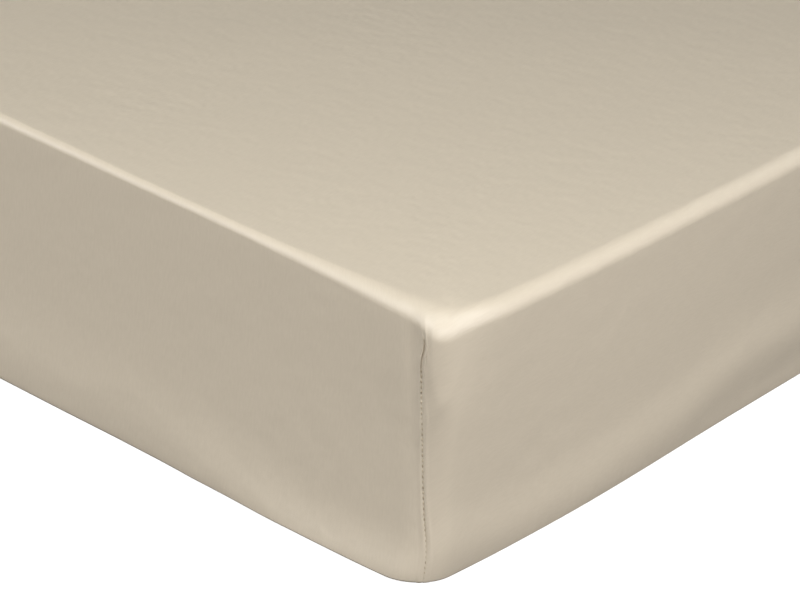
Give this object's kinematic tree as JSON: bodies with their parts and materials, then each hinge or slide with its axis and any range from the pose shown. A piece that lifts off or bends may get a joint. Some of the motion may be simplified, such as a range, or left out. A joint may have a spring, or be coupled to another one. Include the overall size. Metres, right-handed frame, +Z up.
{
  "type": "fitted sheet on mattress",
  "caption": "Satin fitted sheet stretched over a single mattress, with sewn corners and its skirt turned under the base.",
  "frame": {"origin": "middle of the footprint, on the surface that the mattress lies on", "axes": "+Z up, +Y along the length towards the head end, +X across the width; the corner in the picture is the one at +X and -Y"},
  "size_m": [0.9, 1.9, 0.2],
  "materials": {
    "satin": "glossy beige satin weave",
    "ticking": "plain off-white woven mattress cover"
  },
  "bodies": {
    "root": {"fitted_sheet": "satin", "mattress": "ticking"}
  },
  "joints": []
}
